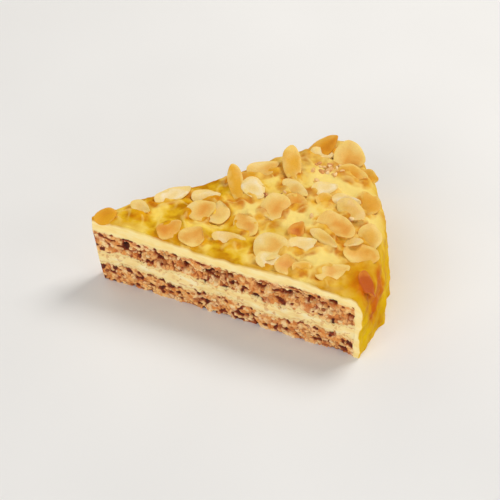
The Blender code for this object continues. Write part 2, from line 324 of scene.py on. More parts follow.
# Small pieces of nut: length in millimetres, width and thickness as shares of it, and roll
NUT_SHAPE = ((1.2, 2.8), (0.5, 0.9), (0.45, 0.8), (0, math.tau))
BIT_SHAPE = ((1.6, 3.4), (0.5, 0.8), (0.3, 0.5), (-0.5, 0.5))
NUT_FLATS = ((0.9, 0.3, 0.3), (-0.4, 0.9, 0.1))
NUT_FLAT_AT = 0.28

# Chopped nuts in the crumb
NUTS_ON_A_FACE = 170
NUT_SEED = 5
NUTS_FROM_TIP = 6 * MM
NUTS_FROM_RIM = 0.8 * MM
NUT_HEIGHTS = (0.06, 0.94)
NUT_PROUD = 0.12 * MM
NUT_SUNK_SHARE = 0.3
NUT_DEEPEST = 2 * MM
NUT_MOST_SHADE = 0.6

# Small chips of almond: the middle of each heap, its reach in millimetres, and how many it has
BIT_HEAPS = ((97.5, 17, 2.8, 26), (70, 9, 2.4, 9), (88, 1, 14, 10))
BIT_SEED = 3
BIT_TONES = (0.1, 0.4, 0.6, 0.7, 0.9)
BIT_LIFT = 0.12
BITS_ACROSS = 0.97

# Cells of each piece: along the radius and through its height, and turns from cut to cut
SPONGE_CELLS = (300, 26, 24)
FILLING_CELLS = (220, 10, 24)
COAT_CELLS = (250, 9, 144)
SMOOTH_ANGLE = math.radians(40)

# The camera, 0.9 m off with a long lens
CAMERA_PLACE = (-2.2 * MM, -688.4 * MM, 598.7 * MM)
CAMERA_YAW = math.radians(-0.52)
CAMERA_DOWN = math.radians(40.43)
CAMERA_ROLL = math.radians(-0.11)
CAMERA_LENS = 167.5
SENSOR = 36.0

# The studio: the floor's size, the light of the sky, and each lamp's place, width, power and colour
FLOOR_SIZE = 4.0
SKY_GREY = 0.9
SKY_STRENGTH = 0.3
LAMPS = {
    "key": ((0.45, 0.35, 0.75), 0.4, 5.0, (1.0, 0.96, 0.9)),
    "front": ((-0.5, -0.9, 0.5), 0.9, 6.8, (1.0, 0.98, 0.95)),
    "side": ((0.9, -0.5, 0.35), 0.6, 2.2, (1.0, 0.97, 0.92)),
    "back": ((-0.6, 0.9, 0.4), 0.8, 3.4, (1.0, 0.95, 0.86)),
}


def across(degrees):
    """Place across the slice, from -1 to 1, of a line that many degrees off its middle."""
    return math.radians(degrees) / HALF_ANGLE


def plan(r, t):
    """X and Y of the point at distance r from the tip, t from -1 to 1 across the slice."""
    return TIP_X + r * math.cos(t * HALF_ANGLE), r * math.sin(t * HALF_ANGLE)


def wave(distance, half_height, length, crest):
    """Height of a wave that has a crest at the given distance."""
    return half_height * math.cos(math.tau * (distance - crest) / length)


def bell(offset, reach):
    """A smooth hump: 1 in its middle, and almost 0 at twice its reach."""
    return math.exp(-((offset / reach) ** 2))


def within(value, low=0.0, high=1.0):
    return min(high, max(low, value))


def rise(value, start, end):
    """0 below start, 1 above end, and smooth between them."""
    share = within((value - start) / (end - start))
    return share * share * (3 - 2 * share)


def roughness_at(x, y, z, size):
    """Smooth noise from about -1 to 1, whose bumps have the given size."""
    return noise.noise(Vector((x / size, y / size, z / size)))


def patches_at(x, y, level, size, middle, contrast):
    """Soft patches of the given size, 1 inside them and 0 between them."""
    return within(middle + contrast * roughness_at(x, y, level, size))


def at_cut(t, fade):
    """1 on both cut faces, and less and less between them."""
    return abs(t) ** fade


def base_top(r, t):
    return BASE_TOP + wave(r + BASE_SHIFT_ACROSS * (t + 1), *BASE_WAVE)


def filling_top(r, t):
    return FILLING_TOP + wave(r + FILLING_SHIFT_ACROSS * (t + 1), *FILLING_WAVE)


def upper_top(r):
    return UPPER_TOP + UPPER_SWELL * bell(r - UPPER_SWELL_AT, UPPER_SWELL_REACH)


def coat_top(r, t):
    bumps = noise.noise(Vector((*plan(r, t), 0.0)) / SPATULA_BUMP_SIZE)
    return COAT_TOP + wave(r, *COAT_WAVE) + bumps * SPATULA_BUMP


def ragged(r, t, level, size):
    """How far a seam between two layers wanders up or down where it shows on a cut face."""
    side = math.copysign(SEAM_SIDE, t)
    broad = SEAM_WANDER * roughness_at(r, side, level, size)
    fine = SEAM_FINE_WANDER * roughness_at(r, side, level, SEAM_FINE_SHARE * size)
    return (broad + fine) * at_cut(t, SEAM_FADE)


def seam_low(r, t):
    """Height at which the base and the filling meet, without the gap between their solids."""
    return base_top(r, t) + ragged(r, t, *LOW_SEAM)


def seam_high(r, t):
    """Height at which the filling and the upper sponge meet."""
    return filling_top(r, t) + ragged(r, t, *HIGH_SEAM)


def seam_top(r, t):
    """Height at which the upper sponge and the coat meet."""
    wander = TOP_SEAM_WANDER_SHARE * ragged(r, t, *TOP_SEAM)
    return upper_top(r) + wander + TOP_SEAM_RISE * at_cut(t, SEAM_FADE)


def tip_radius(z):
    """How far the tip stands back at a height: it leans out towards the top."""
    return TIP_RADIUS + TIP_LEAN * max(0.0, 1.0 - z / UPPER_TOP)


def rim_foot(t):
    """How far the rim's foot stands out: it flares in soft lobes, and is drawn in at the near cut."""
    lobes = RIM_LOBE * math.cos(math.tau * (t - RIM_LOBE_AT) / RIM_LOBE_SPACING)
    flare = (RIM_FLARE + lobes) * bell(t - RIM_FLARE_AT, RIM_FLARE_REACH)
    return flare - RIM_UNDERCUT * bell(t - RIM_UNDERCUT_AT, RIM_UNDERCUT_REACH)


def rim_radius(z, t):
    ridge = RIM_RIDGE * bell(z - RIM_RIDGE_HEIGHT, RIM_RIDGE_REACH)
    low = 1 / (1 + math.exp((z - RIM_FOOT_BELOW) / RIM_FOOT_BLEND))
    spot = Vector((t * RIM_SWAYS_ACROSS, z / RIM_SWAY_SIZE, RIM_SWAY_LEVEL))
    sway = noise.noise(spot) * RIM_SWAY
    return RADIUS - RIM_RIDGE + ridge + rim_foot(t) * low + sway


def arc_point(centre_r, centre_z, radius, share):
    """Point of the quarter turn from straight up to straight out."""
    angle = share * math.pi / 2
    return centre_r + radius * math.sin(angle), centre_z + radius * math.cos(angle)


def shoulder_share(u):
    return (u - COAT_TOP_SHARE) / (COAT_SHOULDER_SHARE - COAT_TOP_SHARE)


def down_share(u):
    return (u - COAT_SHOULDER_SHARE) / (1 - COAT_SHOULDER_SHARE)


def coat_inner(u):
    """The coat's underside from the tip, over the sponge's corner and down to the foot."""
    wall = SPONGE_RADIUS + LAYER_GAP
    turn = wall - INNER_FILLET
    corner_z = upper_top(turn) + LAYER_GAP - INNER_FILLET
    if u <= COAT_TOP_SHARE:
        start = tip_radius(UPPER_TOP)
        r = start + (turn - start) * u / COAT_TOP_SHARE
        return r, upper_top(r) + LAYER_GAP
    if u <= COAT_SHOULDER_SHARE:
        return arc_point(turn, corner_z, INNER_FILLET, shoulder_share(u))
    return wall, corner_z * (1 - down_share(u))


def coat_outer(u, t):
    """The coat's skin from the tip, round its shoulder and down the rim."""
    turn = RADIUS - RIM_RIDGE - SHOULDER
    shoulder_z = coat_top(turn, t) - SHOULDER
    if u <= COAT_TOP_SHARE:
        r = TIP_RADIUS + (turn - TIP_RADIUS) * u / COAT_TOP_SHARE
        return r, coat_top(r, t)
    if u <= COAT_SHOULDER_SHARE:
        share = shoulder_share(u)
        r, z = arc_point(turn, shoulder_z, SHOULDER, share)
        return r + (rim_radius(z, t) - RADIUS + RIM_RIDGE) * share, z
    z = shoulder_z * (1 - down_share(u))
    return rim_radius(z, t), z


def inward(t, depth):
    """The step into the slice, square to the cut face on the side of t."""
    return Vector((math.sin(HALF_ANGLE), -math.copysign(math.cos(HALF_ANGLE), t), 0.0)) * depth


def nothing_selected():
    if bpy.context.object and bpy.context.object.mode != "OBJECT":
        bpy.ops.object.mode_set(mode="OBJECT")
    bpy.ops.object.select_all(action="DESELECT")


def only(obj):
    nothing_selected()
    obj.select_set(True)
    bpy.context.view_layer.objects.active = obj


def named(name):
    """Names the object that was just added."""
    obj = bpy.context.object
    obj.name = name
    obj.data.name = name
    return obj


def joined(objects, name):
    nothing_selected()
    for obj in objects:
        obj.select_set(True)
    bpy.context.view_layer.objects.active = objects[0]
    bpy.ops.object.join()
    return named(name)


def copied(blank):
    """A copy of a blank, with its own mesh."""
    copy = blank.copy()
    copy.data = blank.data.copy()
    bpy.context.collection.objects.link(copy)
    return copy


def keep(mesh, key, values):
    """Keeps one value for each point of a mesh, which its finish reads by the same name."""
    layer = mesh.attributes.new(key, "FLOAT", "POINT")
    layer.data.foreach_set("value", values)


def edit_all():
    """Starts to edit the active object, with all of it selected."""
    bpy.ops.object.mode_set(mode="EDIT")
    bpy.ops.mesh.select_all(action="SELECT")


def face_outward():
    """Turns all faces of the object that is being edited outwards, and ends the edit."""
    bpy.ops.mesh.select_all(action="SELECT")
    bpy.ops.mesh.normals_make_consistent(inside=False)
    bpy.ops.object.mode_set(mode="OBJECT")


def spun_block(name, cells):
    """A closed block one unit long and high: a grid on the near cut, spun round to the far one."""
    long_cells, high_cells, turns = cells
    nothing_selected()
    bpy.ops.mesh.primitive_grid_add(
        x_subdivisions=long_cells,
        y_subdivisions=high_cells,
        size=1,
        location=(1.5, 0, 0.5),
        rotation=(math.pi / 2, 0, 0),
    )
    block = named(name)
    bpy.ops.object.transform_apply(location=True, rotation=True, scale=True)
    edit_all()
    bpy.ops.mesh.spin(steps=turns, angle=-2 * HALF_ANGLE, center=(0, 0, 0), axis=(0, 0, 1))
    bpy.ops.object.mode_set(mode="OBJECT")
    return block


def mould(block, place, keys):
    """Moves each point of a spun block to place(u, t, w), which also gives its named values."""
    values = {key: [] for key in keys}
    for vert in block.data.vertices:
        x, y, z = vert.co
        u = within(math.hypot(x, y) - 1)
        t = within(math.atan2(y, x) / HALF_ANGLE - 1, -1.0, 1.0)
        point, found = place(u, t, within(z))
        vert.co = point
        for key, value in zip(keys, found):
            values[key].append(value)
    for key in keys:
        keep(block.data, key, values[key])
    only(block)
    edit_all()
    face_outward()
    return block


def hole(r, z, t):
    """How deep a point lies in one of the torn holes, from 0 to 1."""
    torn_edge = HOLE_RAGGED * roughness_at(r, z, t * HOLE_SIDE, HOLE_RAGGED_SIZE)
    deepest = 0.0
    for far, high, length in HOLES:
        if t > 0:
            far = FAR_HOLES_FROM - far
            high = high + FAR_HOLES_HIGHER
        along = (r - far * MM) / (length * MM / 2)
        up = (z - high * MM) / HOLE_HEIGHT
        deepest = max(deepest, 1 - math.hypot(along, up) + torn_edge)
    return within(deepest * HOLE_STEEPNESS)


def crumb(r, z, t, free):
    """Depth of the cut crumb at a point, how much shade is painted on it there in pits, crevices and
    holes, and the tone of its clump.
    """
    side = math.copysign(CRUMB_SIDE, t)
    bent = CLUMP_BEND * roughness_at(r, z, side, CLUMP_BEND_SIZE)
    up = CLUMP_FLATNESS * z / CLUMP_SIZE
    gaps, centres = noise.voronoi(Vector((r / CLUMP_SIZE + bent, side / CLUMP_SIZE, up - bent)))
    crevice = 1 - rise(gaps[1] - gaps[0], *CREVICE_EDGES)
    grain = 0.5 + 0.5 * noise.cell(centres[0] * GRAIN_SPREAD)
    crag = Vector((r / CRAG_SIZE, CRAG_FLATNESS * z / CRAG_SIZE, math.copysign(CRAG_SIDE, t)))
    hollow = within(max(0.0, noise.noise(crag) + CRAG_COVER) * CRAG_STEEPNESS)
    pit = roughness_at(r, side, PIT_FLATNESS * z, PIT_SIZE) + PIT_IN_HOLLOW * hollow
    pit = rise(pit, *PIT_EDGES)
    torn = hole(r, z, t)
    fine = roughness_at(r, z, side, FINE_CRUMB_SIZE)
    depth = CRAG_DEPTH * hollow * max(CRAG_LEAST, free) + PIT_DEPTH * pit
    depth += CREVICE_DEPTH * crevice + CLUMP_RISE * (LEVEL_GRAIN - grain) + FINE_CRUMB * fine
    depth = depth * max(CRUMB_LEAST, free) + HOLE_DEPTH * torn
    # Shade painted into the pits, crevices and torn holes
    in_pit = PIT_SHADE * pit + PIT_CREVICE_SHADE * crevice
    in_hollow = CREVICE_SHADE_LEAST + (1 - CREVICE_SHADE_LEAST) * hollow
    painted_shade = max(torn, in_pit, CREVICE_SHADE * crevice * in_hollow)
    return depth * within(r / CRAG_FULL_FROM), within(painted_shade), grain


def base_free(w):
    """How freely the base's crumb is torn at a share w of its height: most along its foot."""
    return BASE_FREE_AT_FOOT * math.cos(math.pi * w / 2)


def upper_free(w):
    """How freely the upper sponge's crumb is torn: most half way up."""
    return math.sin(math.pi * w)


def sponge_place(lower, upper, end, free):
    """Where a sponge's points go, with its cut faces torn into crumb."""
    foot = lower(0, 0)
    head = upper(0, 0)

    def place(u, t, w):
        start = tip_radius(foot * (1 - w) + head * w)
        r = start + u * (end(w) - start)
        z = lower(r, t) * (1 - w) + upper(r, t) * w
        depth, painted_shade, grain = crumb(r, z, t, free(w))
        x, y = plan(r, t)
        torn = at_cut(t, CRUMB_FADE)
        if foot > 0:
            smear = max(bell(w, SMEAR_REACH), bell(1 - w, COAT_SMEAR_REACH))
        else:
            smear = bell(1 - w, SMEAR_REACH)
        return Vector((x, y, z)) + inward(t, depth * torn), (painted_shade * torn, smear, grain)

    return place


def make_base():
    """The lower sponge."""
    place = sponge_place(
        lambda r, t: 0.0,
        lambda r, t: seam_low(r, t) + SEAM_LAP,
        lambda w: SPONGE_RADIUS,
        base_free,
    )
    return mould(spun_block("base_crumb", SPONGE_CELLS), place, ("painted_shade", "smear", "grain"))


def make_upper():
    """The upper sponge, with its torn holes and the chamfer under the coat's corner."""
    place = sponge_place(
        lambda r, t: seam_high(r, t) - SEAM_LAP,
        lambda r, t: seam_top(r, t) + SEAM_LAP,
        lambda w: SPONGE_RADIUS - SPONGE_CORNER * rise(w, SPONGE_CORNER_FROM, 1.0),
        upper_free,
    )
    return mould(spun_block("upper_crumb", SPONGE_CELLS), place, ("painted_shade", "smear", "grain"))


def dragged(r, z, side, height, size):
    """Relief of cream dragged along the cut."""
    return height * roughness_at(r / DRAG_STRETCH, side, z, size)


def filling_place(u, t, w):
    """The cream between the sponges: on the cut faces it is dragged over the crumb's edges."""
    start = tip_radius(BASE_TOP * (1 - w) + FILLING_TOP * w)
    r = start + u * (SPONGE_RADIUS - start)
    z = seam_low(r, t) * (1 - w) + seam_high(r, t) * w
    crown = math.sin(math.pi * within(w, FILLING_EDGE, 1 - FILLING_EDGE)) ** FILLING_CROWN
    side = math.copysign(SEAM_SIDE, t)
    smeared = dragged(r, z, side, FILLING_DRAG, FILLING_DRAG_SIZE) + FILLING_OUT
    out = smeared * crown - FILLING_TUCK * (1 - crown)
    out *= at_cut(t, SEAM_FADE) * within(r / CRAG_FULL_FROM)
    x, y = plan(r, t)
    seam = bell(w, FILLING_SEAM_REACH) + bell(1 - w, FILLING_SEAM_REACH)
    return Vector((x, y, z)) - inward(t, out), (seam,)


def make_filling():
    return mould(spun_block("filling_cream", FILLING_CELLS), filling_place, ("seam",))


def flake_places():
    """Each flake's place, size, turns and colour, in metres and radians."""
    return [
        (r * MM, across(off), length * MM, width * MM, *map(math.radians, turns), toast, gold)
        for r, off, length, width, *turns, toast, gold in FLAKES
    ]


def nearest_flake(x, y, laid):
    """Distance from a point of the cream to the nearest flake's edge, negative under a flake."""
    nearest = 1.0
    for centre_x, centre_y, cos, sin, half_long, half_wide in laid:
        dx = x - centre_x
        dy = y - centre_y
        if dx * dx + dy * dy < FLAKE_REACH_SQUARED:
            along = (dx * cos + dy * sin) / half_long
            sideways = (dy * cos - dx * sin) / half_wide
            nearest = min(nearest, (math.hypot(along, sideways) - 1) * half_wide)
    return nearest


def cream_relief(x, y, z, off_flake, off_cut):
    """Height of the hump by a flake and of the ripples at a point, and how much of a strand it has."""
    hump = HUMP * patches_at(x, y, *HUMP_PATCHES) * bell(off_flake + HUMP_INSET, HUMP_REACH)
    hump *= 1 - HUMP_LOST_AT_CUT * bell(off_cut, HUMP_CUT_REACH)
    ripple = RIPPLE * roughness_at(x, y, z, RIPPLE_SIZE)
    ripple += FINE_RIPPLE * roughness_at(x, y, z, FINE_RIPPLE_SIZE)
    fold = 1 - abs(roughness_at(x, y, STRAND_LEVEL, STRAND_SIZE)) / STRAND_WIDTH
    strand = max(0.0, fold) * within((STRAND_GONE - off_flake) / STRAND_FADE)
    return hump, ripple, strand * rise(off_flake, *STRAND_EDGES)


def coat_underside(u, t, side):
    """The coat's inner face, as ragged at the cut as the crumb that it lies on."""
    r, z = coat_inner(u)
    if u < COAT_TOP_SHARE:
        return r, seam_top(r, t)
    bite = WALL_ROUGH * roughness_at(z, side, 0, WALL_ROUGH_SIZE) - WALL_BACK
    return r + bite * at_cut(t, COAT_FADE), z


def coat_placer(places):
    """Where the coat's points go. The cream is pushed up round the flakes pressed into it."""
    laid = [
        (*plan(r, t), math.cos(heading), math.sin(heading), length / 2, width / 2)
        for r, t, length, width, heading, *_ in places
    ]
    bare = [Vector(plan(r * MM, across(off))) for r, off in PALE_PATCHES]
    browned = [Vector((*plan(r * MM, across(off)), z * MM)) for r, off, z in AMBER_PATCHES]

    def place(u, t, w):
        outer_r, outer_z = coat_outer(u, t)
        x, y = plan(outer_r, t)
        on_top = 1 - rise(u, COAT_TOP_SHARE, COAT_SHOULDER_SHARE)
        off_flake = nearest_flake(x, y, laid)
        off_cut = (1 - abs(t)) * HALF_ANGLE * outer_r
        # Painted shadow, with the caramel: darker gold shifted to the side of each flake where its
        # shadow falls
        off_pool_shadow = max(0.0, nearest_flake(x + POOL_SHADOW_SHIFT_X, y + POOL_SHADOW_SHIFT_Y, laid))
        pool_and_shadow = on_top * bell(off_pool_shadow, POOL_SHADOW_REACH)
        off_amber = min((Vector((x, y, outer_z)) - patch).length for patch in browned)
        # Painted shade on the shoulder round the browned flake, where the pale gives way; then darker
        # gold in patches along the cuts
        deep_gold_and_shade = bell(off_amber, SHOULDER_SHADE_REACH)
        pale = max(bell((Vector((x, y)) - patch).length, PALE_REACH) for patch in bare)
        pale = max(pale, PALE_ALL_OVER * rise(outer_r, *PALE_FROM)) * (1 - deep_gold_and_shade)
        deep_gold_and_shade = max(deep_gold_and_shade, patches_at(x, y, *CUT_EDGE_PATCHES) * bell(off_cut, CUT_EDGE_REACH))
        hump, ripple, strand = cream_relief(x, y, outer_z, off_flake, off_cut)
        streak = roughness_at(t * STREAKS_ACROSS, outer_z * STREAK_FLATNESS, 0, STREAK_SIZE)
        outer_z += (hump + ripple + STRAND * strand) * on_top
        outer_r += (ripple + STREAK * streak - RIM_BACK) * (1 - on_top)
        side = math.copysign(COAT_SIDE, t)
        inner_r, inner_z = coat_underside(u, t, side)
        r = inner_r * (1 - w) + outer_r * w
        z = inner_z * (1 - w) + outer_z * w
        x, y = plan(r, t)
        out = dragged(r, z, side, COAT_DRAG, COAT_DRAG_SIZE) + COAT_OUT
        out -= COAT_TUCK * (bell(1 - w, COAT_CORNER_REACH) + bell(w, COAT_CORNER_REACH))
        out *= at_cut(t, COAT_FADE) * within(r / CRAG_FULL_FROM)
        # In millimetres on the top, and three times as much on the rim, whose skin is thinner
        under_skin = (Vector((outer_r, outer_z)) - Vector((r, z))).length / MM * (3 - 2 * on_top)
        amber = bell(off_amber, AMBER_REACH)
        found = (under_skin, pool_and_shadow, on_top, pale, amber, deep_gold_and_shade, strand)
        return Vector((x, y, z)) - inward(t, out), found

    return place


def make_coat(places):
    """The golden cream over the top and down the rim."""
    block = spun_block("coat_cream", COAT_CELLS)
    keys = ("under_skin", "pool_and_shadow", "on_top", "pale", "amber", "deep_gold_and_shade", "strand")
    return mould(block, coat_placer(places), keys)


def flake_blank():
    """One flake by hand: a round disc one unit thick, with rings of faces on both sides."""
    nothing_selected()
    bpy.ops.mesh.primitive_circle_add(vertices=FLAKE_SIDES, radius=1, fill_type="NGON")
    flake = named("flake_blank")
    edit_all()
    for ring in FLAKE_RINGS:
        bpy.ops.mesh.inset(thickness=ring)
    bpy.ops.mesh.poke()
    bpy.ops.mesh.select_all(action="SELECT")
    bpy.ops.mesh.extrude_region_move(TRANSFORM_OT_translate={"value": (0, 0, 1)})
    bpy.ops.mesh.select_all(action="SELECT")
    bpy.ops.transform.translate(value=(0, 0, -0.5))
    face_outward()
    return flake


def surface(r, t):
    """Height and slope of the coat's top, and of its shoulder where it turns down to the rim."""
    turn = RADIUS - RIM_RIDGE - SHOULDER
    past = min(max(0.0, r - turn), SHOULDER * FLAKES_ON_SHOULDER)
    height = coat_top(min(r, turn), t) - SHOULDER + math.sqrt(SHOULDER**2 - past**2)
    return height, math.asin(past / SHOULDER)


def shape_flake(flake, index, length, width, toast, gold):
    """Bends a copy of the blank and cuts it to one flake's outline, with noise of its own."""
    values = {"reach": [], "along": [], "across": [], "toast": [], "gold": []}
    broken_at = FLAKE_BROKEN_AT if index % BROKEN_ONE_IN == 1 else FLAKE_WHOLE
    twist = FLAKE_TWIST * noise.noise(Vector((index * TWIST_STEP, *TWIST_PLACE)))
    for vert in flake.data.vertices:
        x, y, top = vert.co
        reach = math.hypot(x, y)
        around = Vector((x, y, 0)).normalized() * OUTLINE_FINENESS if reach > 0 else Vector()
        around.x += index * OUTLINE_STEP
        outline = 1 + FLAKE_UNEVEN * noise.noise(around) * reach
        spot = Vector((x * WAVER_FINENESS, y * WAVER_FINENESS, index * WAVER_STEP))
        waver = FLAKE_WAVER * noise.noise(spot) * reach
        thin = FLAKE_THICKNESS * (1 - FLAKE_THINS_BY * rise(reach, FLAKE_THINS_FROM, 1.0))
        bow = FLAKE_BOW * length * (x * x - FLAKE_BOW_LEVEL)
        rough_break = BREAK_ROUGH * noise.noise(Vector((y * BREAK_FINENESS, index, 0)))
        end = broken_at + BREAK_SLANT * y + rough_break
        vert.co = Vector((
            min(x * outline, end) * length / 2,
            y * outline * (1 - FLAKE_NARROWS * x) * width / 2,
            bow + waver + twist * x * y + top * thin,
        ))
        values["reach"].append(reach)
        values["along"].append(x * length / MM / 2 + index * PATTERN_STEP)
        values["across"].append(y * width / MM / 2)
        values["toast"].append(toast)
        values["gold"].append(gold)
    for key in values:
        keep(flake.data, key, values[key])


def lay_flake(flake, place, stacked):
    """Turns and tilts a flake, and sets it in the cream or on other flakes."""
    r, t, length, width, heading, tilt, raised, *_ = place
    height, slope = surface(r, t)
    off = raised - heading
    half = math.hypot(length / 2 * math.cos(off), width / 2 * math.sin(off))
    lift = FLAKE_TILT_LIFT * half * math.sin(max(0.0, tilt - slope))
    lift += FLAKE_STACKED if stacked else FLAKE_SUNK
    turn = Matrix.Rotation(raised, 4, "Z") @ Matrix.Rotation(-tilt, 4, "Y")
    flake.data.transform(turn @ Matrix.Rotation(-off, 4, "Z"))
    flake.data.transform(Matrix.Translation((*plan(r, t), height + lift)))


def make_flakes(places):
    """All the flaked almonds, as one piece."""
    blank = flake_blank()
    laid = []
    flakes = []
    for index, place in enumerate(places):
        r, t, length, width, *_, toast, gold = place
        centre = Vector(plan(r, t))
        stacked = any((centre - other).length < FLAKE_OVERLAP * length for other in laid)
        flake = copied(blank)
        shape_flake(flake, index, length, width, toast, gold)
        lay_flake(flake, place, stacked)
        flakes.append(flake)
        laid.append(centre)
    bpy.data.objects.remove(blank)
    almonds = joined(flakes, "almond_flakes")
    edge = almonds.modifiers.new("soft edge", "BEVEL")
    edge.width = FLAKE_BEVEL
    edge.segments = 2
    edge.limit_method = "ANGLE"
    edge.angle_limit = FLAKE_BEVEL_ANGLE
    only(almonds)
    bpy.ops.object.modifier_apply(modifier=edge.name)
    return almonds


def nut_blank():
    """One chopped piece of nut by hand: a coarse ball with two sides cut flat."""
    nothing_selected()
    bpy.ops.mesh.primitive_ico_sphere_add(subdivisions=2, radius=0.5)
    nut = named("nut_blank")
    for normal in NUT_FLATS:
        edit_all()
        bpy.ops.mesh.bisect(
            plane_co=Vector(normal) * NUT_FLAT_AT,
            plane_no=normal,
            use_fill=True,
            clear_outer=True,
        )
    face_outward()
    return nut


def drawn_piece(draw, lengths, widths, heights, rolls):
    """Size and turn of one small piece of nut, drawn by chance."""
    long = draw.uniform(*lengths) * MM
    size = (long, long * draw.uniform(*widths), long * draw.uniform(*heights))
    turn = Matrix.Rotation(draw.uniform(0, math.tau), 4, "Z")
    return size, turn @ Matrix.Rotation(draw.uniform(*rolls), 4, "X")


def placed_nut(blank, centre, size, turn, shade):
    nut = copied(blank)
    nut.data.transform(Matrix.Translation(centre) @ turn @ Matrix.Diagonal((*size, 1.0)))
    keep(nut.data, "tone", [shade] * len(nut.data.vertices))
    return nut


def make_nuts():
    """Chopped nuts that show in the crumb of both cut faces, as one piece."""
    blank = nut_blank()
    draw = random.Random(NUT_SEED)
    nuts = []
    for side in (-1.0, 1.0):
        for _ in range(NUTS_ON_A_FACE):
            r = draw.uniform(NUTS_FROM_TIP, SPONGE_RADIUS - NUTS_FROM_RIM)
            share = draw.uniform(*NUT_HEIGHTS)
            in_upper = draw.random() < 0.5
            if in_upper:
                low = filling_top(r, side) + LAYER_GAP
                high = upper_top(r)
                free = upper_free(share)
            else:
                low = 0.0
                high = base_top(r, side)
                free = base_free(share)
            z = low + (high - low) * share
            depth, painted_shade, _ = crumb(r, z, side, free)
            size, turn = drawn_piece(draw, *NUT_SHAPE)
            shade = draw.random()
            sunk = within(depth - NUT_PROUD, NUT_SUNK_SHARE * size[1], NUT_DEEPEST)
            inside = size[0] / 2 < z < high
            # No nut where heavy shade is painted, as in the holes
            if painted_shade < NUT_MOST_SHADE and inside:
                centre = Vector((*plan(r, side), z)) + inward(side, sunk)
                nuts.append(placed_nut(blank, centre, size, turn, shade))
    bpy.data.objects.remove(blank)
    return joined(nuts, "chopped_nuts")


def make_bits():
    """Small chips of almond that lie on the cream, most of them near the far corner."""
    blank = nut_blank()
    draw = random.Random(BIT_SEED)
    bits = []
    for r, off, reach, count in BIT_HEAPS:
        for _ in range(count):
            x, y = plan(r * MM, across(off))
            x += draw.gauss(0, reach * MM)
            y += draw.gauss(0, reach * MM)
            far = math.hypot(x - TIP_X, y)
            t = math.atan2(y, x - TIP_X) / HALF_ANGLE
            size, turn = drawn_piece(draw, *BIT_SHAPE)
            shade = draw.choice(BIT_TONES)
            height = surface(far, t)[0] + BIT_LIFT * size[0]
            if abs(t) < BITS_ACROSS and far < RADIUS - SHOULDER:
                bits.append(placed_nut(blank, Vector((x, y, height)), size, turn, shade))
    bpy.data.objects.remove(blank)
    return joined(bits, "almond_bits")


